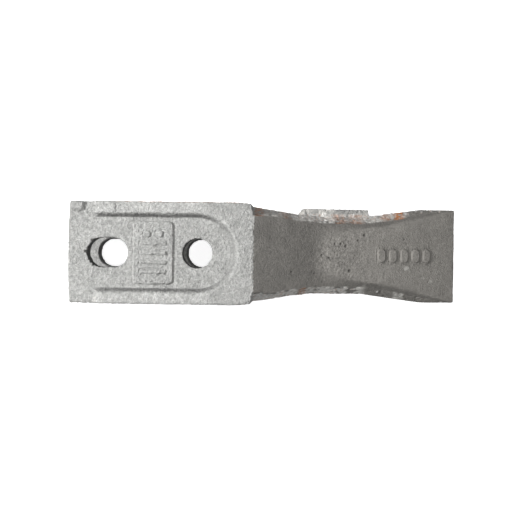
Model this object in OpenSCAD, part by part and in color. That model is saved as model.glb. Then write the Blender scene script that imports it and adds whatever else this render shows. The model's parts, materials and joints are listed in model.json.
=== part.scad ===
// Two-bolt excavator bucket tooth: a forked cast-steel shank that straddles the
// bucket's lip plate, and a waisted, flared digging blade.
//
// Frame: the origin is on the front bolt's axis, midway between the two straps.
// +X runs to the cutting edge, +Z is the side with the marked bolt pocket.

/* [Shank] */
// Width of the straps and of the cutting edge
shank_w = 76; // [70:1:84]
// Front bolt axis to the rear end of the straps
rear_reach = 96; // [90:1:110]
// Thickness of each strap under its bolt pocket
strap_t = 12; // [10:1:16]
// Gap between the straps, for the lip plate and its clearance
lip_gap = 28; // [20:1:32]
// Front bolt axis to the stop face that the lip's edge meets
stop_x = 28; // [24:1:31]
// Radius of the fillets at the root of the fork
root_r = 6; // [3:1:8]

/* [Bolts] */
// Diameter of the front hole and width of the rear slot
bolt_hole_d = 22; // [18:0.5:24]
// Distance from the front hole to the middle of the rear slot
bolt_pitch = 66.5; // [60:0.5:68]
// Length of the rear slot, end to end
slot_len = 30; // [26:1:34]

/* [Bolt guards] */
// Height of the guard rails above the bolt pocket's floor
guard_h = 6; // [4:0.5:8]
// Radius of the pocket's round end at the top of the rails
pocket_r = 29.5; // [27:0.5:31]
// How far the pocket's wall leans in, from its top to its floor
pocket_lean = 3.2; // [2:0.2:4]
// Front bolt axis to the rear ends of the rails
guard_reach = 75; // [70:1:86]

/* [Blade] */
// Front bolt axis to the ridge where the shank ends
ridge_x = 41; // [38:1:44]
// Front bolt axis to the waist, where the scoop meets the blade
waist_x = 91; // [86:1:96]
// Front bolt axis to the start of the parallel cutting edge
flare_x = 176; // [170:1:182]
// Front bolt axis to the cutting edge
tip_x = 204; // [196:1:212]
// Width at the waist
waist_w = 62; // [54:1:64]
// Thickness at the cutting edge
tip_t = 8.5; // [6:0.5:12]

/* [Hidden] */
$fn = 96;

shank_grey = [0.72, 0.72, 0.71];
blade_grey = [0.42, 0.41, 0.39];

half_gap = lip_gap / 2;
floor_z = half_gap + strap_t;     // outer face of a strap, at the pocket's floor
skid_z = floor_z + guard_h;       // outer face of the rails and of the ridge
half_w = shank_w / 2;
waist_half = waist_w / 2;

// The sides draw in between these two stations, and run level to the third.
draw_start_x = 24;
draw_end_x = 94;
flare_start_x = 126;

// Height of the upper face at the waist, and its slope just past the waist.
waist_z = 9;
waist_slope = 0.14;
// Slope of the scoop where it leaves the ridge.
ridge_slope = 0.404;

// Half-widths of the flat upper face at the ridge, at the waist and at the tip.
ridge_face_half = 22;
waist_face_half = 10.4;
tip_face_half = 37.5;

// The shoulders beside that face carry on from the scoop, and fall faster past the waist.
shoulder_slope = 0.34;
crown = 0.6;                      // how far the face has dropped at the shoulders' edges
// Width of the leaning side wall in plan, at the ridge and along the blade.
ridge_wall_w = 8;
blade_wall_w = 5.6;
wall_end_x = 58;

// Height of the parting line, where the side wall ends, at the ridge and at the tip.
parting_ridge_z = 0;
parting_tip_z = -27.5;
// Sideways lean of the lower flank, per millimetre of height.
lower_draft = 0.09;

station_step = 2.6;                // spacing of the sections along the blade
overlap = 1;                      // how far a cutter runs past a face

// ---- outline functions ----

// Cosine step from 0 at a to 1 at b.
function ease(x, a, b) = x <= a ? 0 : x >= b ? 1 : (1 - cos(180 * (x - a) / (b - a))) / 2;
function mix(a, b, t) = a + (b - a) * t;
function clamp01(t) = min(1, max(0, t));

// Half of the width at the parting line.
function side_y(x) =
    x < draw_end_x ? mix(half_w, waist_half, ease(x, draw_start_x, draw_end_x))
    : mix(waist_half, half_w, clamp01((x - flare_start_x) / (flare_x - flare_start_x)));

// Height of the upper face: a scoop down from the ridge, then the blade's long fall.
// Both fall from z0 to z1 over the span, and start with the given slope.
function fall_z(z0, z1, slope, u, span) = z0 - slope * u - (z0 - slope * span - z1) * pow(u / span, 2);
function scoop_z(x) = fall_z(skid_z, waist_z, ridge_slope, x - ridge_x, waist_x - ridge_x);
function blade_z(x, slope) = fall_z(waist_z, tip_t - skid_z, slope, x - waist_x, tip_x - waist_x);
function face_z(x) = x <= waist_x ? scoop_z(x) : blade_z(x, waist_slope);
function shoulder_z(x) = (x <= waist_x ? scoop_z(x) : blade_z(x, shoulder_slope)) - crown;

// Half of the width of the upper face.
function face_y(x) =
    x <= waist_x ? mix(ridge_face_half, waist_face_half, (x - ridge_x) / (waist_x - ridge_x))
    : mix(waist_face_half, tip_face_half, (x - waist_x) / (tip_x - waist_x));

function parting_z(x) =
    mix(parting_ridge_z, parting_tip_z, (x - ridge_x) / (tip_x - ridge_x));

// Outer edge of the shoulders, where the side wall starts down.
function wall_w(x) = mix(ridge_wall_w, blade_wall_w, ease(x, ridge_x, wall_end_x));
function shoulder_y(x) = max(side_y(x) - wall_w(x), mix(face_y(x), side_y(x), 0.4));

// Right half of a section, from the upper face to the underside.
function half_section(x) = [
    [face_y(x), face_z(x)],
    [mix(face_y(x), shoulder_y(x), 0.5), mix(face_z(x), shoulder_z(x), 0.4)],
    [shoulder_y(x), shoulder_z(x)],
    [side_y(x), parting_z(x)],
    [side_y(x) - lower_draft * (parting_z(x) + skid_z), -skid_z]
];
HALF_POINTS = 5;
function section(x) = [
    for (p = half_section(x)) [x, p[0], p[1]],
    for (i = [HALF_POINTS - 1:-1:0]) [x, -half_section(x)[i][0], half_section(x)[i][1]]
];

// Evenly spaced stations from a to b.
function stations(a, b) =
    let (n = ceil((b - a) / station_step)) [for (i = [0:n]) mix(a, b, i / n)];
// Every station of the blade side that lies between a and b.
function stations_within(a, b) = [
    for (x = stations(ridge_x, waist_x)) if (x > a && x < b) x,
    for (x = stations(waist_x, flare_x)) if (x > max(a, waist_x) && x < b) x,
    for (x = stations(flare_x, tip_x)) if (x > max(a, flare_x) && x < b) x
];

// Points of an arc about c, from angle a to angle b.
function arc(c, r, a, b, n = 12) =
    [for (i = [0:n]) let (t = mix(a, b, i / n)) c + r * [cos(t), sin(t)]];

// ---- shared shapes ----

// A solid through a list of sections, each with the same number of points.
module loft_through(sections) {
    k = len(sections[0]);
    last = (len(sections) - 1) * k;
    sides = [
        for (s = [0:len(sections) - 2], i = [0:k - 1])
            let (j = (i + 1) % k, p = s * k, q = p + k)
                each [[p + i, q + j, q + i], [p + i, p + j, q + j]]
    ];
    ends = [[for (i = [k - 1:-1:0]) i], [for (i = [0:k - 1]) last + i]];
    polyhedron([for (s = sections) each s], concat(sides, ends), convexity = 4);
}

// The blade's own sections from a to b.
module loft(a, b) {
    loft_through([for (x = stations(a, b)) section(x)]);
}

// Plan outline of the shank from a to b, which draws in towards the ridge.
module plan(a, b) {
    xs = concat(a < draw_start_x ? [a] : [], stations(max(a, draw_start_x), b));
    polygon(concat(
        [for (x = xs) [x, side_y(x)]],
        [for (i = [len(xs) - 1:-1:0]) [xs[i], -side_y(xs[i])]]
    ));
}

module slot_outline() {
    run = (slot_len - bolt_hole_d) / 2;
    for (side = [-1, 1]) translate([side * run, 0]) circle(d = bolt_hole_d);
    square([2 * run, bolt_hole_d], center = true);
}

// One strap, with its round hole and its slot, between the gap and the pocket's floor.
module strap() {
    difference() {
        translate([0, 0, half_gap]) linear_extrude(strap_t) plan(-rear_reach, ridge_x);
        translate([0, 0, half_gap - overlap]) {
            cylinder(d = bolt_hole_d, h = strap_t + 2 * overlap);
            translate([-bolt_pitch, 0, 0]) linear_extrude(strap_t + 2 * overlap) slot_outline();
        }
    }
}

// The U-shaped guard: two rails and the shoulder that runs up to the ridge.
module bolt_guard() {
    floor_r = pocket_r - pocket_lean;
    lean_rate = pocket_lean / guard_h;
    cut_r = pocket_r + lean_rate * overlap;
    cut_h = guard_h + overlap;
    difference() {
        translate([0, 0, floor_z]) linear_extrude(guard_h) plan(-guard_reach, ridge_x);
        translate([0, 0, floor_z]) {
            cylinder(r1 = floor_r, r2 = cut_r, h = cut_h);
            rotate([90, 0, -90]) linear_extrude(guard_reach + overlap)
                polygon([[-floor_r, 0], [floor_r, 0], [cut_r, cut_h], [-cut_r, cut_h]]);
        }
    }
}

// ---- the casting's regions ----

module top_strap() {
    color(shank_grey) strap();
}

module bottom_strap() {
    color(shank_grey) mirror([0, 0, 1]) strap();
}

module top_bolt_guard() {
    color(shank_grey) bolt_guard();
}

module bottom_bolt_guard() {
    color(shank_grey) mirror([0, 0, 1]) bolt_guard();
}

// Fills the root of the fork between the straps, with a flat stop for the lip's edge.
module throat_block() {
    profile = concat(
        [[ridge_x, -half_gap], [ridge_x, half_gap]],
        arc([stop_x - root_r, half_gap - root_r], root_r, 90, 0),
        arc([stop_x - root_r, root_r - half_gap], root_r, 0, -90)
    );
    color(shank_grey) intersection() {
        translate([0, half_w, 0]) rotate([90, 0, 0]) linear_extrude(shank_w) polygon(profile);
        translate([0, 0, -half_gap]) linear_extrude(lip_gap) plan(stop_x - 2 * root_r, ridge_x);
    }
}

module neck() {
    color(blade_grey) loft(ridge_x, waist_x);
}

module blade() {
    color(blade_grey) loft(waist_x, flare_x);
}

module cutting_edge() {
    color(blade_grey) loft(flare_x, tip_x);
}

// Stub left where the feeder was cut from the casting: it hangs under the parting
// line on one side of the waist, and its root lies on the lower flank.
pad_start_x = 76.5;
pad_end_x = 133.5;
pad_out_y = 36.7;
pad_t = 13;
pad_bevel = 4;
function pad_y(x) = min(pad_out_y, pad_out_y - pad_bevel + x - pad_start_x);
function pad_section(x) = [
    [x, side_y(x), parting_z(x)],
    [x, pad_y(x), parting_z(x)],
    [x, pad_y(x), parting_z(x) - pad_t],
    [x, side_y(x) - lower_draft * pad_t, parting_z(x) - pad_t]
];
module feeder_pad() {
    xs = concat([pad_start_x], stations_within(pad_start_x, pad_end_x), [pad_end_x]);
    color(shank_grey) loft_through([for (x = xs) pad_section(x)]);
}

// Short end of the upper rail, left at one rear corner of the top strap.
corner_pad_l = 12;
corner_pad_w = 7.5;
corner_pad_h = 3;
corner_pad_r = 3;
corner_pad_inset = 1;
module rear_corner_pad() {
    outline = concat(
        [[0, 0], [corner_pad_l, 0], [corner_pad_l, corner_pad_w]],
        arc([corner_pad_r, corner_pad_w - corner_pad_r], corner_pad_r, 90, 180)
    );
    color(shank_grey) translate([corner_pad_inset - rear_reach, half_w - corner_pad_w, floor_z])
        linear_extrude(corner_pad_h) polygon(outline);
}

// Raised blank panel between the bolts, with plain ribs and two round studs.
panel_x = -32.5;
panel_l = 29;
panel_w = 46;
panel_h = 1.2;
panel_corner_r = 3;
ribs = 4;
rib_l = 19;
rib_w = 2.4;
rib_h = 0.9;
rib_pitch = 7;
stud_r = 2.4;
module id_panel() {
    color(shank_grey) translate([panel_x, 0, floor_z]) {
        linear_extrude(panel_h) hull()
            for (x = [-1, 1], y = [-1, 1])
                translate([x * (panel_l / 2 - panel_corner_r), y * (panel_w / 2 - panel_corner_r)])
                    circle(panel_corner_r, $fn = 32);
        translate([0, 0, panel_h]) linear_extrude(rib_h) {
            for (i = [0:ribs - 1]) translate([0, (i - ribs / 2) * rib_pitch])
                square([rib_l, rib_w], center = true);
            for (side = [-1, 1]) translate([side * rib_l / 4, ribs / 2 * rib_pitch]) circle(stud_r);
        }
    }
}

// A row of plain raised ovals on the blade, cast to count wear.
pips = 5;
pip_start_x = 141.2;
pip_pitch = 9.5;
pip_y = 0;
pip_l = 10.5;
pip_w = 6.4;
pip_rise = 1.3;
module tally_pips() {
    line = [for (x = stations_within(waist_x, tip_x)) [x, face_z(x)]];
    band = concat(line, [for (i = [len(line) - 1:-1:0]) line[i] + [0, pip_rise]]);
    run = (pip_l - pip_w) / 2;
    color(blade_grey) intersection() {
        translate([0, half_w, 0]) rotate([90, 0, 0]) linear_extrude(shank_w) polygon(band);
        for (i = [0:pips - 1]) translate([pip_start_x + i * pip_pitch, pip_y, -skid_z])
            linear_extrude(2 * skid_z) {
                for (side = [-1, 1]) translate([0, side * run]) circle(d = pip_w);
                square([pip_w, 2 * run], center = true);
            }
    }
}

top_strap();
bottom_strap();
top_bolt_guard();
bottom_bolt_guard();
throat_block();
neck();
blade();
cutting_edge();
feeder_pad();
rear_corner_pad();
id_panel();
tally_pips();
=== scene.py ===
"""Two-bolt excavator bucket tooth, as cast: a light grey forked shank and a darker flared blade.

The casting is one implicit solid, worked out in millimetres from the CAD nodes' boxes. Each CAD node
gets its own closed piece of it, meshed on one shared lattice, so that neighbouring pieces share their
seam points exactly.
"""

import json
import math

import bmesh
import bpy
import numpy as np
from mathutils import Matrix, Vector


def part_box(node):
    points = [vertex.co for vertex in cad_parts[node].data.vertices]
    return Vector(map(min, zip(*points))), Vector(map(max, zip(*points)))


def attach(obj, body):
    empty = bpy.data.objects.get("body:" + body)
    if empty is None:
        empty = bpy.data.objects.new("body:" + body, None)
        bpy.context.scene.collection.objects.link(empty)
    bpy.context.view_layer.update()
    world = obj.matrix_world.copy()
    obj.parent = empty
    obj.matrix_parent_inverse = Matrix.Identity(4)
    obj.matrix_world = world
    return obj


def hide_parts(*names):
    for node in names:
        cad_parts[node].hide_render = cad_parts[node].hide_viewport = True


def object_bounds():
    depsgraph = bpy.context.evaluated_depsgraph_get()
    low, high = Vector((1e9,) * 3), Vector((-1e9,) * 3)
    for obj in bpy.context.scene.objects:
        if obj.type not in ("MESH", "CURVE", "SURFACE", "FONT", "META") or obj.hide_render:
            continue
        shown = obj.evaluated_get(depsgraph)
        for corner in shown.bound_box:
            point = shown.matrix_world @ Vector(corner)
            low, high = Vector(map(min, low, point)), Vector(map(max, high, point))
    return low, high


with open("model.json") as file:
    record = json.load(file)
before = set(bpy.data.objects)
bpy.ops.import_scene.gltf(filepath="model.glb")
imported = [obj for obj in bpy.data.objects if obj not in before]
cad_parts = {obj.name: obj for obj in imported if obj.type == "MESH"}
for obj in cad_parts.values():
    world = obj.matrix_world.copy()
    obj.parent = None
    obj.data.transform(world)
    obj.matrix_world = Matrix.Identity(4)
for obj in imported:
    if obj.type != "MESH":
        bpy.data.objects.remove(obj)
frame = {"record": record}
cad_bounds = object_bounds()

MM = 0.001


def box_mm(node):
    low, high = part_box(node)
    return np.array(low) / MM, np.array(high) / MM


# ---------------------------------------------------------------- dimensions, mm
strap_low, strap_high = box_mm("top_strap")
guard_low, guard_high = box_mm("top_bolt_guard")
panel_low, panel_high = box_mm("id_panel")
corner_low, corner_high = box_mm("rear_corner_pad")
feeder_low, feeder_high = box_mm("feeder_pad")
pips_low, pips_high = box_mm("tally_pips")
mounts = {m["name"]: m for m in frame["record"]["mounts"]}

REAR_X, RIDGE_X = strap_low[0], strap_high[0]
HALF_W = strap_high[1]
HALF_GAP, FLOOR_Z = strap_low[2], strap_high[2]
GUARD_REAR_X, SKID_Z = guard_low[0], guard_high[2]
GUARD_H = SKID_Z - FLOOR_Z
WAIST_X = box_mm("neck")[1][0]
FLARE_X = box_mm("blade")[1][0]
TIP_X = box_mm("cutting_edge")[1][0]
STOP_X = mounts["lip_stop"]["pos_m"][0] / MM
ROOT_R = STOP_X - box_mm("throat_block")[0][0]
BOLT_R = mounts["front_bolt_bore"]["dims"]["r_mm"]
SLOT_X = mounts["rear_bolt_slot"]["pos_m"][0] / MM
SLOT_RUN = 4.0                        # half the distance between the slot's two round ends

POCKET_R = 29.5                       # of the pocket's round end, at the rails' tops
WAIST_HALF = 31.0                     # half-width at the waist
DRAW_START_X, DRAW_END_X, FLARE_START_X = 24.0, 94.0, 126.0
WAIST_Z, TIP_Z = 9.0, -23.5
RIDGE_SLOPE, WAIST_SLOPE, SHOULDER_SLOPE = 0.404, 0.14, 0.34
BACK_SLOPE = 0.3                      # the scoop's own surface, where it carries on behind the ridge
SCOOP_END_SLOPE = 2 * (SKID_Z - WAIST_Z) / (WAIST_X - RIDGE_X) - RIDGE_SLOPE
SHOULDER_DIP, SHOULDER_DIP_RUN = 0.17, 14.0   # the shoulders fall faster at first past the waist
FACE_BLEND, WALL_BLEND, RIDGE_BLEND = 2.4, 3.0, 1.4
FACE_RIDGE, FACE_WAIST, FACE_TIP = 22.0, 10.4, 37.5
PARTING_RIDGE_Z, PARTING_TIP_Z = 0.0, -27.5
RIDGE_WALL_W, BLADE_WALL_W, WALL_END_X = 8.0, 5.6, 58.0
CROWN = 0.6                           # how far the face has dropped at the shoulders' edges
LOWER_DRAFT = 0.09                    # how far the sides lean in for each mm below the parting line
PIPS, PIP_R, PIP_RISE = 5, 3.2, 1.3
PIP_RUN = (pips_high[1] - pips_low[1]) / 2 - PIP_R
RIBS, RIB_L, RIB_W, RIB_H, RIB_PITCH, STUD_R = 4, 19.0, 2.4, 0.9, 7.0, 2.4
RIB_GROOVE, PANEL_GROOVE = 0.4, 0.45
PANEL_H = 1.2
MARK_CORNER_R = 3.0                   # corner radius of the panel's and the corner pad's outlines
SHANK_EDGE_R, BLADE_EDGE_R, LOWER_EDGE_R = 1.9, 0.8, 1.6
END_EDGE_R, HOLE_EDGE_R, STUB_EDGE_R = 1.4, 0.8, 0.9
REAR_BOW = 1.3                        # how far the rear edge draws back at its corners
STUB_DEPTH, STUB_BEVEL = 13.0, 4.0

CELL = 0.55    # the lattice's spacing
LATTICE_SHIFT = np.array([0.17, 0.23, 0.1])
INSET = 0.3                           # room left inside the CAD box for the surface's relief
BOX_LOW = np.array(cad_bounds[0]) / MM + 0.02
BOX_HIGH = np.array(cad_bounds[1]) / MM - 0.02
FLOOR_SEAM = FLOOR_Z + 0.6            # a guard meets its strap this high, part way up its fillet
THROAT_SEAM = HALF_GAP - 1.5
FEEDER_SEAM = 33.2
PIP_SEAM = 0.4


# ---------------------------------------------------------------- small maths
def mix(a, b, t):
    return a + (b - a) * t


def smooth(t):
    t = np.clip(t, 0.0, 1.0)
    return t * t * (3 - 2 * t)


def ramp(x, a, b):
    return smooth((x - a) / (b - a))


def soft_max(a, b, k):
    h = np.clip(0.5 + 0.5 * (a - b) / k, 0.0, 1.0)
    return mix(b, a, h) + k * h * (1 - h)


def soft_min(a, b, k):
    return -soft_max(-a, -b, k)


def bell(x, centre, width):
    """1 at the centre, and fading out on both sides."""
    return np.exp(-(((x - centre) / width) ** 2))


def round_and(a, b, r):
    """Where both solids are, with the edge between them rounded to radius r."""
    return np.minimum(-r, np.maximum(a, b)) + np.hypot(np.maximum(a + r, 0), np.maximum(b + r, 0))


def round_or(a, b, r):
    return -round_and(-a, -b, r)


def rounded_box(u, v, half_u, half_v, r):
    """Distance to a rectangle with round corners, in a plane."""
    du, dv = np.abs(u) - half_u + r, np.abs(v) - half_v + r
    return np.hypot(np.maximum(du, 0), np.maximum(dv, 0)) + np.minimum(np.maximum(du, dv), 0) - r


rng = np.random.default_rng(7)
TABLE = 256
GRADIENTS = rng.normal(size=(TABLE, 3))
GRADIENTS /= np.linalg.norm(GRADIENTS, axis=1)[:, None]
SHUFFLE = rng.permutation(TABLE)


def noise(p, size, seed):
    """Gradient noise about zero, of that feature size, at points p."""
    q = p / size + seed * 17.31
    cell = np.floor(q).astype(np.int64)
    part = q - cell
    fade = part**3 * (part * (part * 6 - 15) + 10)
    total = np.zeros(len(p))
    for corner in np.ndindex(2, 2, 2):
        at = (cell + corner) % TABLE
        row = SHUFFLE[(SHUFFLE[(SHUFFLE[at[:, 0]] + at[:, 1]) % TABLE] + at[:, 2]) % TABLE]
        weight = np.prod(np.where(corner, fade, 1 - fade), axis=1)
        total += weight * np.einsum("ij,ij->i", GRADIENTS[row], part - corner)
    return 1.6 * total


# ---------------------------------------------------------------- the casting's shape
def side_y(x):
    """Half-width at the parting line."""
    drawn = mix(HALF_W, WAIST_HALF, 0.5 - 0.5 * np.cos(np.pi * np.clip(
        (x - DRAW_START_X) / (DRAW_END_X - DRAW_START_X), 0, 1)))
    flare = (x - FLARE_START_X) / (FLARE_X - FLARE_START_X)
    flare = soft_min(soft_max(flare, 0.0, 0.12), 1.0, 0.1)
    return np.where(x < DRAW_END_X, drawn, mix(WAIST_HALF, HALF_W, flare)) - INSET


def fall(z0, z1, slope, u, span):
    """A fall from z0 to z1 over the span, which starts with that slope."""
    return z0 - slope * u - (z0 - slope * span - z1) * (u / span) ** 2


def scoop_z(x):
    """Height of the scoop, carried on straight past both of its ends."""
    u, span = x - RIDGE_X, WAIST_X - RIDGE_X
    scoop = fall(SKID_Z, WAIST_Z, RIDGE_SLOPE, np.clip(u, 0, span), span)
    return scoop - BACK_SLOPE * np.minimum(u, 0) - SCOOP_END_SLOPE * np.maximum(u - span, 0)


def face_z(x, slope):
    """Height of the upper face: a scoop down from the ridge, then the blade's long fall."""
    blade = fall(WAIST_Z, TIP_Z, slope, x - WAIST_X, TIP_X - WAIST_X)
    return soft_max(scoop_z(x), blade, FACE_BLEND) - FACE_BLEND / 4


def face_y(x):
    """Half-width of the upper face."""
    u = (x - RIDGE_X) / (WAIST_X - RIDGE_X)
    v = (x - WAIST_X) / (TIP_X - WAIST_X)
    blade = mix(FACE_WAIST, FACE_TIP, v) + 2.2 * np.sin(np.pi * np.clip(v / 0.45, 0, 1))
    return np.where(x < WAIST_X, mix(FACE_RIDGE, FACE_WAIST, u), blade)


def shoulder_y(x):
    """Half-width over the shoulders, where the leaning side wall starts down."""
    wall = mix(RIDGE_WALL_W, BLADE_WALL_W, 0.5 - 0.5 * np.cos(np.pi * np.clip(
        (x - RIDGE_X) / (WALL_END_X - RIDGE_X), 0, 1)))
    side = side_y(x)
    return np.maximum(side - wall, mix(face_y(x), side, 0.4))


def parting_z(x):
    return mix(PARTING_RIDGE_Z, PARTING_TIP_Z, (x - RIDGE_X) / (TIP_X - RIDGE_X))


def pip_distance(x, y):
    centres = np.linspace(pips_low[0] + PIP_R, pips_high[0] - PIP_R, PIPS)
    middle = (pips_low[1] + pips_high[1]) / 2
    along = np.maximum(np.abs(y - middle) - PIP_RUN, 0)
    return np.min([np.hypot(x - c, along) for c in centres], axis=0) - PIP_R


def blade_top(x, y):
    """Height of the neck and blade: face, flank, shoulder and leaning side wall."""
    a = np.abs(y)
    half, edge, parting = face_y(x), shoulder_y(x), parting_z(x)
    late = np.maximum(x - WAIST_X, 0)
    face = face_z(x, WAIST_SLOPE)
    dip = SHOULDER_DIP * late * np.exp(-late / SHOULDER_DIP_RUN)
    shoulder = face_z(x, SHOULDER_SLOPE) - CROWN - dip
    nose = ramp(x, WAIST_X - 3, WAIST_X + 9)
    t = np.clip((a - half) / np.maximum(edge - half, 0.6), 0, 1)
    flank = mix(face, shoulder, mix(t, smooth(t), 0.6 * nose))
    away = 4.0 * np.maximum(RIDGE_X - x, 0)
    wall = parting + (shoulder - parting) * (side_y(x) + away - a) / np.maximum(side_y(x) - edge, 0.3)
    return soft_min(flank, wall, WALL_BLEND)


def reach(x, y):
    """Distance from the pocket's centreline, which ends at the front bolt."""
    return np.where(x > 0, np.hypot(x, y), np.abs(y))


def guard_top(x, y):
    """Height of the shank: the pocket's floor inside a U-shaped guard."""
    out = reach(x, y)
    nose = np.where(x > 0, np.clip(x / np.maximum(out, 1), 0, 1), 0) ** 2
    rings = 0.3 * bell(out, 24.4, 0.9) - 0.3 * bell(out, 22.6, 0.8)
    apron = (0.5 * smooth((out - 15.0) / 6.0) + rings) * nose
    wall = smooth((out - POCKET_R + mix(4.0, 4.4, nose)) / mix(4.3, 4.9, nose))
    start = GUARD_REAR_X - 0.5 + 0.9 * np.sin(0.8 * y + 1) + 0.4 * np.sin(2.3 * y)
    rail = ramp(x, start - 3.0, start + 3.0)
    return FLOOR_Z + rail * (apron + (GUARD_H - apron) * wall)


def raised(outline):
    """Height of a rib or stud with that outline, and of the fine groove round its foot."""
    return RIB_H * smooth(0.5 - outline) - RIB_GROOVE * bell(outline, 0.8, 0.5)


def marks_top(x, y):
    """What stands on the pocket's floor: the blank panel with its ribs and studs, and the corner pad."""
    mid = (panel_low + panel_high) / 2
    half = (panel_high - panel_low) / 2
    u, v = x - mid[0], y - mid[1]
    panel = rounded_box(u, v, half[0], half[1], MARK_CORNER_R)
    height = PANEL_H * smooth(0.5 - panel / 1.1) - PANEL_GROOVE * bell(panel, 0.9, 0.6)
    for i in range(RIBS):
        rib = rounded_box(u, v - (i - RIBS / 2) * RIB_PITCH, RIB_L / 2, RIB_W / 2, 1.0)
        height = height + raised(rib)
    for side in (-1, 1):
        stud = np.hypot(u - side * RIB_L / 4, v - RIBS / 2 * RIB_PITCH) - STUD_R
        height = height + raised(stud)
    mid = (corner_low + corner_high) / 2
    half = (corner_high - corner_low) / 2
    pad = rounded_box(x - mid[0], y - mid[1] - 1.0, half[0] - 0.3, half[1] + 0.7, MARK_CORNER_R)
    return height + (corner_high[2] - FLOOR_Z - 0.4) * smooth(0.4 - pad / 3.2)


def ridge_lip(x, y):
    """The torn little bead where the coating of the shank ends."""
    line = RIDGE_X - 0.8 + 0.5 * np.sin(0.9 * y) + 0.4 * np.sin(2.3 * y + 1)
    height = 0.35 + 0.2 * np.sin(1.4 * y + 2)
    return height * bell(x, line, 0.75) * ramp(FACE_RIDGE + 3 - np.abs(y), 0, 3)


def top_z(x, y, pips=True):
    """Height of the whole upper surface, before its sides are cut."""
    blade = blade_top(x, y)
    if pips:
        blade = blade + PIP_RISE * smooth(0.5 - pip_distance(x, y) / 1.3)
    shank = guard_top(x, y) + marks_top(x, y)
    return soft_min(shank, blade, RIDGE_BLEND) + ridge_lip(x, y) - INSET


def slot_radius(x, y, z):
    """The rear slot's radius, torn at the rear end of its upper rim."""
    turn = np.arctan2(y, SLOT_X - SLOT_RUN - x)
    torn = np.maximum(np.sin(7 * turn + 1) + 0.8 * np.sin(13 * turn + 2) + 0.6 * np.sin(24 * turn), 0)
    return BOLT_R + 1.1 * torn * ramp(np.cos(turn), 0.2, 0.8) * ramp(z, FLOOR_Z - 5, FLOOR_Z - 1)


def feeder_stub(x, y, z, side, parting):
    """The feeder's cut stub: a slab beside the waist, just under the parting line."""
    ends = np.maximum(feeder_low[0] + INSET - x, x - feeder_high[0] + INSET)
    bevel = (y - feeder_high[1] + feeder_low[0] - x + STUB_BEVEL) / math.sqrt(2)
    slab = np.abs(z - parting + STUB_DEPTH / 2) - STUB_DEPTH / 2
    stub = round_and(y - feeder_high[1] + INSET, slab, STUB_EDGE_R)
    stub = round_and(stub, np.maximum(ends, bevel), STUB_EDGE_R)
    return np.maximum(stub, side - 6 - y)


def casting(x, y, z):
    """The whole tooth as one implicit solid: negative inside, in mm."""
    side, parting = side_y(x), parting_z(x)
    top = z - top_z(x, y)
    bottom = -z - np.where(x < RIDGE_X, guard_top(x, y), SKID_Z) + INSET
    lean = LOWER_DRAFT * np.maximum(parting - z, 0) * ramp(x, 30, 60)
    sides = np.abs(y) - side + lean
    body = round_and(top, sides, mix(SHANK_EDGE_R, BLADE_EDGE_R, ramp(x, 28, 55)))
    body = round_and(body, bottom, LOWER_EDGE_R)
    rear = REAR_X + 0.15 + REAR_BOW * (np.abs(y) / HALF_W) ** 3 - x
    body = round_and(body, np.maximum(rear, x - TIP_X + INSET), END_EDGE_R)
    gap = round_and(x - STOP_X, np.abs(z) - HALF_GAP, ROOT_R)
    body = round_and(body, -gap, END_EDGE_R)
    slot = np.hypot(np.maximum(np.abs(x - SLOT_X) - SLOT_RUN, 0), y) - slot_radius(x, y, z)
    holes = np.minimum(np.hypot(x, y) - BOLT_R, slot)
    body = round_and(body, -holes, HOLE_EDGE_R)
    return round_or(body, feeder_stub(x, y, z, side, parting), 1.0)


PROBE = 0.02                          # how far to each side a slope is measured


def gradient(field, p):
    """The field's slope at points p, from its values a little way to each side."""
    out = np.empty_like(p)
    for axis in range(3):
        step = np.zeros(3)
        step[axis] = PROBE
        out[:, axis] = (field(*(p + step).T) - field(*(p - step).T)) / (2 * PROBE)
    return out


# ---------------------------------------------------------------- regions, one for each CAD node
def in_pips(x, y, z):
    """Negative in the pips: above the blade's own surface, over their outline."""
    return np.maximum(top_z(x, y, pips=False) + PIP_SEAM - z, pip_distance(x, y) - 1.5)


def past_stub_ends(x):
    """How far X is past the feeder stub's nearer end, negative beside it."""
    return np.maximum(feeder_low[0] - x, x - feeder_high[0])


def feeder_root(x, y, z):
    """Negative on the blade's side of the seam with the feeder's stub."""
    return y - FEEDER_SEAM - 20 * ramp(past_stub_ends(x), 0, 5)


BEHIND_RAILS = GUARD_REAR_X - 3
IN_POCKET = POCKET_R - 5.5
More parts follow.
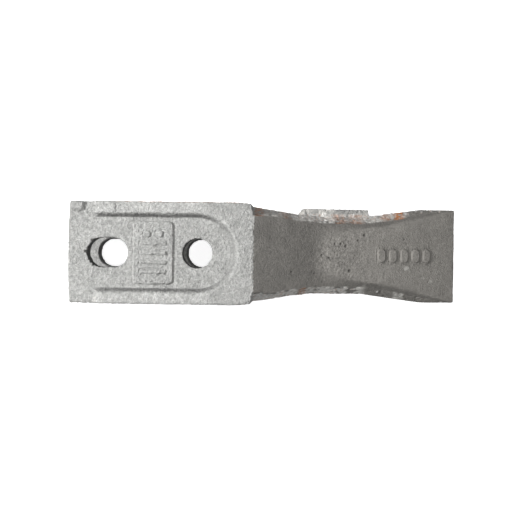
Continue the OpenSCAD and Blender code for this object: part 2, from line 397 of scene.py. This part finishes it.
# Each region is where the casting is and all of these are negative.
REGIONS = {
    "top_strap": [
        lambda x, y, z: z - FLOOR_SEAM,
        lambda x, y, z: THROAT_SEAM - z,
        lambda x, y, z: x - RIDGE_X,
    ],
    "bottom_strap": [
        lambda x, y, z: -z - FLOOR_SEAM,
        lambda x, y, z: THROAT_SEAM + z,
        lambda x, y, z: x - RIDGE_X,
    ],
    "top_bolt_guard": [
        lambda x, y, z: FLOOR_SEAM - z,
        lambda x, y, z: x - RIDGE_X,
        lambda x, y, z: np.maximum(BEHIND_RAILS - x, IN_POCKET - reach(x, y)),
    ],
    "bottom_bolt_guard": [lambda x, y, z: FLOOR_SEAM + z, lambda x, y, z: x - RIDGE_X],
    "throat_block": [lambda x, y, z: np.abs(z) - THROAT_SEAM, lambda x, y, z: x - RIDGE_X],
    "neck": [lambda x, y, z: RIDGE_X - x, lambda x, y, z: x - WAIST_X, feeder_root],
    "blade": [
        lambda x, y, z: WAIST_X - x,
        lambda x, y, z: x - FLARE_X,
        feeder_root,
        lambda x, y, z: -in_pips(x, y, z),
    ],
    "cutting_edge": [lambda x, y, z: FLARE_X - x, lambda x, y, z: -in_pips(x, y, z)],
    "feeder_pad": [lambda x, y, z: -feeder_root(x, y, z)],
    "rear_corner_pad": [lambda x, y, z: FLOOR_SEAM - z, lambda x, y, z: x - BEHIND_RAILS],
    "id_panel": [
        lambda x, y, z: FLOOR_SEAM - z,
        lambda x, y, z: np.maximum(np.abs(x - panel_low[0]) - 40, reach(x, y) - IN_POCKET),
    ],
    "tally_pips": [in_pips],
}
BLADE_NODES = ("neck", "blade", "cutting_edge", "tally_pips")


# ---------------------------------------------------------------- meshing
def corners(values):
    """The eight corners of every lattice cell."""
    ends = (slice(None, -1), slice(1, None))
    return [values[ends[i], ends[j], ends[k]] for i, j, k in np.ndindex(2, 2, 2)]


def crossed(values):
    """Cells that a field's zero surface runs through."""
    signs = [c < 0 for c in corners(values)]
    return np.logical_or.reduce(signs) & ~np.logical_and.reduce(signs)


def edge_middle(values, cells):
    """Mean of the points where a field is zero along each cell's edges, from 0 to 1 in the cell."""
    at = {c: values[tuple(cells + np.array(c)[:, None])] for c in np.ndindex(2, 2, 2)}
    total, count = np.zeros((cells.shape[1], 3)), np.zeros(cells.shape[1])
    for low in at:
        for axis in range(3):
            if low[axis]:
                continue
            high = tuple(1 if i == axis else low[i] for i in range(3))
            cut = (at[low] < 0) != (at[high] < 0)
            point = np.tile(np.array(low, float), (len(count), 1))
            point[:, axis] = at[low] / np.where(cut, at[low] - at[high], 1)
            total += np.where(cut[:, None], point, 0)
            count += cut
    return total / count[:, None]


def quads(inside, index):
    """One face round each lattice edge that leaves the solid, facing outwards."""
    faces = []
    for order in ((0, 1, 2), (1, 2, 0), (2, 0, 1)):
        s, c = inside.transpose(order), index.transpose(order)
        i, j, k = np.nonzero(s[:-1, 1:-1, 1:-1] != s[1:, 1:-1, 1:-1])
        j, k = j + 1, k + 1
        quad = np.stack([c[i, j - 1, k - 1], c[i, j, k - 1], c[i, j, k], c[i, j - 1, k]], axis=1)
        out = s[i, j, k]
        faces.append(np.where(out[:, None], quad, quad[:, ::-1]))
    return np.concatenate(faces)


def carve(low, high, cuts):
    """Points, faces and the fields that each point lies on, for the casting inside all of the cuts."""
    first = np.floor(low / CELL).astype(int) - 3
    last = np.ceil(high / CELL).astype(int) + 4
    axes = [(np.arange(first[i], last[i]) + LATTICE_SHIFT[i]) * CELL for i in range(3)]
    grid = np.ix_(*axes)
    fields = [casting, *cuts]
    shape = tuple(len(a) for a in axes)
    values = [np.broadcast_to(f(*grid), shape) for f in fields]
    whole = np.maximum.reduce(values)
    cells = np.array(np.nonzero(crossed(whole)))
    index = np.full([n - 1 for n in shape], -1)
    index[tuple(cells)] = np.arange(cells.shape[1])
    on = np.array([crossed(v)[tuple(cells)] for v in values])
    within = edge_middle(whole, cells)
    within[on.sum(axis=0) > 1] = 0.5
    start = (cells.T + within + first + LATTICE_SHIFT) * CELL
    points = start.copy()
    for _ in range(4):
        for field, rows in zip(fields, on):
            p = points[rows]
            slope = gradient(field, p)
            size = np.maximum((slope**2).sum(axis=1), 0.05)
            points[rows] = p - slope * (field(*p.T) / size)[:, None]
        points = np.clip(points, start - 0.9 * CELL, start + 0.9 * CELL)
    return points, quads(whole < 0, index), on


# ---------------------------------------------------------------- the cast surface
# Bare patches along the parting line: place along X, side, half-length, strength.
CHIPS = (
    (62, -1, 3, 1.0), (71, -1, 4.5, 1.2), (83, -1, 6, 0.8), (97, -1, 6, 1.6), (112, -1, 3, 0.9),
    (125, -1, 4, 0.7), (157, -1, 4, 0.7),
    (58, 1, 9, 0.6), (80, 1, 9, 0.9), (98, 1, 7, 1.1), (140, 1, 22, 0.5),
)
# Rusty patches, in the same form.
RUST = (
    (45, 1, 3.5, 0.6), (66, 1, 4, 0.3), (108, 1, 5, 0.5), (122, 1, 6, 0.35), (146, 1, 4, 0.5),
    (157, 1, 4, 1.1), (79, -1, 3, 0.6),
)
# Pores in the blade's face: place along X and Y, radius.
PORES = (
    (93.5, -0.3, 1.0), (99.5, -2.2, 0.9), (104, 8.6, 0.8), (108.5, 8.8, 0.8), (112.5, 7.0, 1.0),
    (122, 11.6, 0.8), (127, 15.6, 1.0), (115.5, -11.8, 1.1), (70, -13, 0.7), (88, -14, 0.6),
    (160, 13, 0.6),
)
# Pale smudges on the blade's face: place along X and Y, radius, strength.
SMUDGES = ((162, -9.8, 2.4, 0.35), (176, -17, 1.6, 0.2), (183, -20, 1.8, 0.2), (128, -24, 2.0, 0.2))
# Layers of cast relief: seed, feature size, height on the shank, height on the blade.
LUMPS = ((1, 13, 0.20, 0.20), (2, 4.6, 0.16, 0.08))
GRAIN = ((3, 1.9, 0.28, 0.08), (4, 1.1, 0.26, 0.08))
CRACK_X, CRACK_INNER_Y = -59.5, 29.5
CHIP_DEPTH, CRACK_DEPTH, PORE_DEPTH = 0.5, 0.7, 0.8


def patches(table, p):
    """Strength, from 0, of listed patches at points p."""
    total = np.zeros(len(p))
    for x, side, half, strength in table:
        near = np.exp(-(((p[:, 0] - x) / half) ** 4)) * (p[:, 1] * side > 0)
        total = np.maximum(total, strength * near)
    return total


def layers(table, p, blade, boost=1.0):
    """The sum of a table's layers of noise. The boost raises them on the blade."""
    return sum(mix(high, low * boost, blade) * noise(p, size, seed) for seed, size, high, low in table)


def bore_distance(x, y):
    """Distance from the nearer bolt hole's wall, positive in the metal."""
    slot = np.hypot(np.maximum(np.abs(x - SLOT_X) - SLOT_RUN, 0), y)
    return np.minimum(np.hypot(x, y), slot) - BOLT_R


def edge_band(p):
    """1 in the ragged strip along the parting line where the blade's dark coat is missing."""
    x, y, z = p.T
    inward = np.abs(y) - shoulder_y(x) - 0.6 + 0.9 * noise(p, 3.0, 31) + 0.6 * noise(p, 1.4, 32)
    below = z - parting_z(x) + 6 + 2.0 * noise(p, 5, 33)
    cover = np.where(y > 0, 1.1 - 1.6 * ramp(x, 158, 168), mix(1.1, 0.15, ramp(x, 52, 76)))
    cover = cover - 0.9 * ramp(x, 112, 135) * (y < 0) + 1.3 * noise(p, 4.5, 34)
    return ramp(inward, -0.3, 0.5) * ramp(below, 0, 1.5) * ramp(cover, -0.1, 0.35)


def coats(p):
    """From 0 to 1: the blade's dark coat, the strip without it, the stub, and the edge that wears."""
    x, y, z = p.T
    torn = 0.9 * noise(p, 2.6, 21) + 0.6 * noise(p, 1.2, 22)
    ahead = ramp(x + torn - RIDGE_X - 0.3, -0.25, 0.25)
    band = edge_band(p) * ahead
    stub = ramp(y - FEEDER_SEAM + 1 - 20 * ramp(past_stub_ends(x), 0, 3), -0.4, 0.4)
    blade = ahead * (1 - band) * (1 - stub)
    rim = ramp(np.abs(y) - shoulder_y(x) + 1.2, 0, 1.2) * ramp(z - parting_z(x) + 5, 0, 2) * ahead
    return blade, band * (1 - stub), stub, rim


def relief(p, blade, rim):
    """The surface's relief in mm, and the same as a colour weight: painted shade in the hollows, pores and
    crack, and a painted highlight on the bumps.
    """
    x, y, z = p.T
    peel = 1 + 1.3 * ramp(x, 86, 95) * ramp(140 - x, 0, 30) * ramp(face_y(x) + 3 - np.abs(y), 0, 4)
    grain = layers(GRAIN, p, blade, peel)
    pits = mix(0.35, 0.12, blade) * ramp(noise(p, 2.7, 5), 0.42, 0.75)
    chip = rim * ramp(noise(p, 6, 6) + 0.5 * noise(p, 2.4, 7), 0.2, 0.5)
    crack = bell(x + 0.4 * np.sin(2 * y), CRACK_X, 0.45) * (y > CRACK_INNER_Y) * (z > FLOOR_Z)
    pore = np.zeros(len(p))
    for px, py, r in PORES:
        pore = np.maximum(pore, ramp(r - np.hypot(x - px, y - py), -0.3, 0.4) * (z > -15))
    offset = layers(LUMPS, p, blade) + grain - pits - CHIP_DEPTH * chip - CRACK_DEPTH * crack
    offset = np.minimum(offset - PORE_DEPTH * pore - 0.05, 0.9 * INSET)
    # painted shade in hollows, pores and the crack; painted highlight on the bumps
    painted_relief_shade = np.clip((grain - pits) / mix(0.5, 0.25, blade), -0.5, 1) - 1.2 * pore - 1.2 * crack
    return offset, painted_relief_shade


def relief_height(x, y, z):
    p = np.stack([x, y, z], axis=1)
    blade, _, _, rim = coats(p)
    return relief(p, blade, rim)[0]


def bare_metal(p, rim):
    """Where no paint is left: chips, smudges, the ridge's bead, and the end of one rail."""
    x, y, z = p.T
    smudge = np.zeros(len(p))
    for px, py, r, strength in SMUDGES:
        away = np.hypot(x - px, y - py) + 0.8 * noise(p, 2.0, 41)
        smudge = np.maximum(smudge, strength * ramp(r - away, 0, 1) * (z > parting_z(x)))
    chips = rim * np.clip(patches(CHIPS, p) * (0.7 + 1.1 * noise(p, 3.2, 8)), 0, 1)
    bead = bell(x, RIDGE_X - 0.6, 1.0) * (z > SKID_Z - 2) * ramp(noise(p, 2.4, 9), 0.1, 0.5)
    rail_end = bell(x, GUARD_REAR_X, 3.5) * ramp(-31.5 - y, 0, 1) * (z > FLOOR_Z)
    rail_end = rail_end * ramp(noise(p, 2.2, 14), -0.1, 0.3)
    return np.maximum.reduce([chips, smudge, 0.6 * bead, 0.8 * rail_end])


def rusty(p, strip, stub, rim):
    """Rust in patches along the parting line, and dusted along the strip and one side of the shank."""
    x, y, z = p.T
    spots = np.clip(patches(RUST, p) * (0.75 + 1.2 * noise(p, 2.8, 10)), 0, 1)
    spots = spots * np.maximum(rim * (1 - stub), strip)
    dusty = 0.35 * strip * ramp(noise(p, 1.8, 11), 0.0, 0.5)
    flash = ramp(y - HALF_W + 1.3, 0, 0.9) * ramp(z, 10, 24) * ramp(x, -64, -56)
    flash = flash * ramp(RIDGE_X + 6 - x, 0, 6) * ramp(noise(p, 5, 12) + 0.5 * noise(p, 1.6, 13), -0.4, 0.1)
    return np.maximum.reduce([spots, dusty, 0.5 * flash])


def painted_shade(p, strip, stub):
    """Painted shade down the bores, in the pocket's corner and on the +Y side's strip, and a darker tone on
    the stub.
    """
    x, y, z = p.T
    # painted shade on the bolt holes' walls, below their rims
    bores = ramp(1.3 - bore_distance(x, y), 0, 0.8) * ramp(FLOOR_Z - 0.8 - np.abs(z), 0, 1.0)
    # painted shade along the foot of the pocket's walls
    corner = bell(reach(x, y), POCKET_R - 2.3, 1.6) * ramp(x, -76, -70) * (z > FLOOR_Z)
    corner = 0.75 * corner * mix(1.0, 0.5, ramp(x, 5, 20))
    # the +Y strip gets painted shade; the stub is only darker in tone
    return np.maximum.reduce([bores, corner + 0.35 * stub, 0.2 * strip * (y > 0)])


def painted_light_tone(p, strip):
    """Painted light: a painted highlight on the blade's face, the rails' tops and the pocket's lip, and
    painted light on the -Y side's strip.
    """
    x, y, z = p.T
    face = ramp(face_y(x) + 1.5 - np.abs(y), 0, 3) * ramp(x, WAIST_X - 4, WAIST_X + 5) * (z > parting_z(x))
    rails = ramp(z, SKID_Z - 3, SKID_Z - 1.5) * ramp(12 - x, 0, 8)
    lip = bell(reach(x, y), POCKET_R + 0.5, 0.8) * (z > SKID_Z - 3) * ramp(x, 8, 22)
    # painted highlights on the face, rails and lip, and painted light on the -Y strip
    return face * mix(0.6, 1.0, ramp(x, 95, 150)) + 0.55 * rails + 0.7 * lip + 1.8 * strip * (y < 0)


def skin(p):
    """The surface's relief in mm, and what colours it."""
    blade, strip, stub, rim = coats(p)
    offset, height = relief(p, blade, rim)
    tints = {
        "blade_paint": blade,
        # painted shade in hollows and painted highlight on bumps
        "height": height,
        # painted shade, and the stub's darker tone
        "shade": painted_shade(p, strip, stub),
        # painted highlights and painted light
        "painted_light": painted_light_tone(p, strip),
        "bare": bare_metal(p, rim),
        "rust": rusty(p, strip, stub, rim),
    }
    return offset, tints


def store(mesh, name, kind, field, values):
    """Keep a value for each vertex of the mesh, under that name."""
    mesh.attributes.new(name, kind, "POINT").data.foreach_set(field, values.astype(np.float32).ravel())


def unit(vectors):
    return vectors / np.maximum(np.linalg.norm(vectors, axis=1), 1e-6)[:, None]


def cast_piece(node, material):
    """One region of the casting as a closed mesh that stands for its CAD node."""
    low, high = box_mm(node)
    cuts = REGIONS[node]
    points, faces, on = carve(low, high, cuts)
    offset, tints = skin(points)
    outer, seam = on[0], on[0] & on[1:].any(axis=0)
    out = unit(gradient(casting, points))
    lit = np.zeros((len(points), 3))
    lit[seam] = unit(out[seam] - gradient(relief_height, points[seam]))
    points[outer] += out[outer] * offset[outer, None]
    points = np.clip(points, BOX_LOW, BOX_HIGH)
    common = on[:, faces].all(axis=2)          # which fields all of a face's corners lie on
    kind = np.where(common[0], 0, np.argmax(common, axis=0) + (~common.any(axis=0)))
    mesh = bpy.data.meshes.new(node)
    mesh.from_pydata(points * MM, [], faces)
    for name, values in tints.items():
        store(mesh, name, "FLOAT", "value", values)
    store(mesh, "lit", "FLOAT_VECTOR", "vector", lit)
    mesh.polygons.foreach_set("material_index", kind.astype(np.int32))
    close_caps(mesh, len(cuts))
    share_seam_normals(mesh)
    mesh.materials.append(material)
    piece = bpy.data.objects.new(f"cast_{node}", mesh)
    bpy.context.scene.collection.objects.link(piece)
    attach(piece, "root")
    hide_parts(node)


def share_seam_normals(mesh):
    """Both sides of a seam get the surface's own normal there, so that the seam doesn't show."""
    corners_of = np.zeros(len(mesh.loops), np.int32)
    mesh.loops.foreach_get("vertex_index", corners_of)
    normals = np.zeros(3 * len(mesh.loops), np.float32)
    mesh.corner_normals.foreach_get("vector", normals)
    normals = normals.reshape(-1, 3)
    lit = np.zeros(3 * len(mesh.vertices), np.float32)
    mesh.attributes["lit"].data.foreach_get("vector", lit)
    lit = lit.reshape(-1, 3)[corners_of]
    counts, rounded = np.zeros(len(mesh.polygons), np.int32), np.zeros(len(mesh.polygons), bool)
    mesh.polygons.foreach_get("loop_total", counts)
    mesh.polygons.foreach_get("use_smooth", rounded)
    use = np.repeat(rounded, counts) & (np.abs(lit).sum(axis=1) > 0)
    normals[use] = lit[use]
    mesh.attributes.remove(mesh.attributes["lit"])
    mesh.normals_split_custom_set(normals)


def close_caps(mesh, cuts):
    """Each inner cut becomes one flat face with a sharp rim, and the rest is smooth."""
    bm = bmesh.new()
    bm.from_mesh(mesh)
    for k in range(1, cuts + 1):
        cap = [f for f in bm.faces if f.material_index == k]
        if cap:
            bmesh.ops.dissolve_faces(bm, faces=cap, use_verts=True)
    for face in bm.faces:
        face.smooth = face.material_index == 0
    for edge in bm.edges:
        kinds = {f.material_index for f in edge.link_faces}
        edge.smooth = kinds == {0}
    for face in bm.faces:
        face.material_index = 0
    bm.to_mesh(mesh)
    bm.free()


# ---------------------------------------------------------------- materials
class Nodes:
    """A short way to write a material's nodes."""

    def __init__(self, name):
        self.material = bpy.data.materials.new(name)
        self.material.use_nodes = True
        self.tree = self.material.node_tree
        self.shader = self.tree.nodes["Principled BSDF"]

    def add(self, kind, values=None, **settings):
        node = self.tree.nodes.new(kind)
        for key, value in settings.items():
            setattr(node, key, value)
        for key, value in (values or {}).items():
            self.put(value, node.inputs[key])
        return node

    def put(self, value, socket):
        if isinstance(value, bpy.types.NodeSocket):
            self.tree.links.new(value, socket)
        else:
            socket.default_value = value

    def attribute(self, name):
        return self.add("ShaderNodeAttribute", attribute_name=name).outputs["Fac"]

    def math(self, operation, a, b, c=0.0):
        return self.add("ShaderNodeMath", {0: a, 1: b, 2: c}, operation=operation).outputs[0]

    def noise(self, scale, detail=3.0, roughness=0.55):
        where = self.add("ShaderNodeTexCoord").outputs["Object"]
        values = {"Vector": where, "Scale": scale, "Detail": detail, "Roughness": roughness}
        return self.add("ShaderNodeTexNoise", values).outputs["Fac"]

    def mix(self, factor, a, b, blend="MIX"):
        node = self.add("ShaderNodeMix", data_type="RGBA", blend_type=blend)
        for value, socket in zip((factor, a, b), (node.inputs[0], node.inputs[6], node.inputs[7])):
            self.put(value, socket)
        return node.outputs[2]

    def spread(self, value, low, high, to_low=0.0, to_high=1.0):
        values = {0: value, 1: low, 2: high, 3: to_low, 4: to_high}
        return self.add("ShaderNodeMapRange", values).outputs[0]


LIGHT_PAINT = (0.46, 0.46, 0.446, 1)
DARK_PAINT = (0.181, 0.172, 0.158, 1)
BARE_METAL = (0.72, 0.705, 0.67, 1)
RUST_BROWN = (0.28, 0.13, 0.07, 1)
RUST_ORANGE = (0.55, 0.22, 0.08, 1)


def cast_material(name, roughness, grain, bump):
    """Sprayed paint over sand-cast steel, with bare metal and rust where the paint is gone, and painted
    shade and painted light laid into its tone.
    """
    n = Nodes(name)
    blade, height = n.attribute("blade_paint"), n.attribute("height")
    paint = n.mix(blade, LIGHT_PAINT, DARK_PAINT)
    cloud = n.spread(n.noise(90, 4), 0.3, 0.7, 0.9, 1.1)
    speck = n.spread(n.noise(1300, 2), 0.25, 0.75, 1 - grain, 1 + grain)
    # painted shade in hollows and painted highlight on bumps, from the relief weight
    tone = n.math("MULTIPLY", n.math("MULTIPLY", cloud, speck), n.spread(height, -1, 1, 0.5, 1.5))
    # painted shade: the shade weight darkens the paint down to 0.3
    tone = n.math("MULTIPLY", tone, n.spread(n.attribute("shade"), 0, 1, 1, 0.3))
    # painted light: this weight lightens the paint up to 1.35
    tone = n.math("MULTIPLY", tone, n.spread(n.attribute("painted_light"), 0, 1, 1, 1.35))
    tone = n.add("ShaderNodeCombineXYZ", {0: tone, 1: tone, 2: tone}).outputs[0]
    paint = n.mix(1.0, paint, tone, "MULTIPLY")
    paint = n.mix(n.attribute("bare"), paint, BARE_METAL)
    rust = n.mix(n.spread(n.noise(700, 3), 0.4, 0.6), RUST_BROWN, RUST_ORANGE)
    n.put(n.mix(n.attribute("rust"), paint, rust), n.shader.inputs["Base Color"])
    dull = n.math("ADD", n.attribute("rust"), n.attribute("bare"))
    n.put(n.math("MULTIPLY_ADD", dull, 0.15, roughness), n.shader.inputs["Roughness"])
    bump = n.add("ShaderNodeBump", {"Strength": bump, "Distance": 0.002, "Height": n.noise(850, 4, 0.7)})
    n.put(bump.outputs["Normal"], n.shader.inputs["Normal"])
    return n.material


def floor_material():
    n = Nodes("floor_white")
    n.put((0.9, 0.9, 0.9, 1), n.shader.inputs["Base Color"])
    n.put(0.9, n.shader.inputs["Roughness"])
    n.put((1, 1, 1, 1), n.shader.inputs["Emission Color"])
    n.put(0.78, n.shader.inputs["Emission Strength"])
    return n.material


# ---------------------------------------------------------------- stage, light and camera
def stage_floor(z):
    """A pale floor that curves up far away, so that no horizon shows."""
    bm = bmesh.new()
    bmesh.ops.create_grid(bm, x_segments=60, y_segments=60, size=6.0)
    for vert in bm.verts:
        vert.co.z = 0.4 * max(vert.co.xy.length - 1.5, 0) ** 2
    for face in bm.faces:
        face.smooth = True
    mesh = bpy.data.meshes.new("floor")
    bm.to_mesh(mesh)
    bm.free()
    mesh.materials.append(floor_material())
    floor = bpy.data.objects.new("floor", mesh)
    floor.location = (0, 0, z)
    bpy.context.scene.collection.objects.link(floor)
    floor.visible_diffuse = False
    floor.visible_glossy = False


def softbox(name, place, aim, size, watts):
    light = bpy.data.lights.new(name, "AREA")
    light.shape, light.size, light.energy = "SQUARE", size, watts
    lamp = bpy.data.objects.new(name, light)
    lamp.location = place
    lamp.rotation_euler = (aim - lamp.location).to_track_quat("-Z", "Y").to_euler()
    bpy.context.scene.collection.objects.link(lamp)


def camera(centre_x):
    """Straight down on the marked side, with the picture turned a little."""
    data = bpy.data.cameras.new("camera")
    data.sensor_width, data.lens = 36.0, 49.34
    data.clip_start, data.clip_end = 0.01, 20.0
    eye = bpy.data.objects.new("camera", data)
    eye.location = (centre_x, -0.0007, SKID_Z * MM + 0.51)
    eye.rotation_euler = (0, 0, math.radians(0.74))
    bpy.context.scene.collection.objects.link(eye)
    bpy.context.scene.camera = eye


def studio():
    scene = bpy.context.scene
    scene.view_settings.view_transform = "Standard"
    world = bpy.data.worlds.new("studio")
    world.use_nodes = True
    background = world.node_tree.nodes["Background"]
    background.inputs["Color"].default_value = (1, 1, 1, 1)
    background.inputs["Strength"].default_value = 0.3
    scene.world = world
    middle = bpy.data.objects["cast_top_strap"].location.copy()
    softbox("overhead", (0.05, 0.0, 1.1), middle, 0.6, 4.0)
    softbox("key", (-0.84, 0.18, 0.72), middle, 0.25, 16.0)


materials = {
    "shank_cast": cast_material("rough_shank", 0.62, 0.28, 1.0),
    "blade_cast": cast_material("smooth_blade", 0.56, 0.12, 0.6),
}
for node in REGIONS:
    slot = "blade_cast" if node in BLADE_NODES else "shank_cast"
    cast_piece(node, materials[slot])

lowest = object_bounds()[0].z
stage_floor(lowest)
studio()
camera((REAR_X + TIP_X) / 2 * MM - 0.0114)
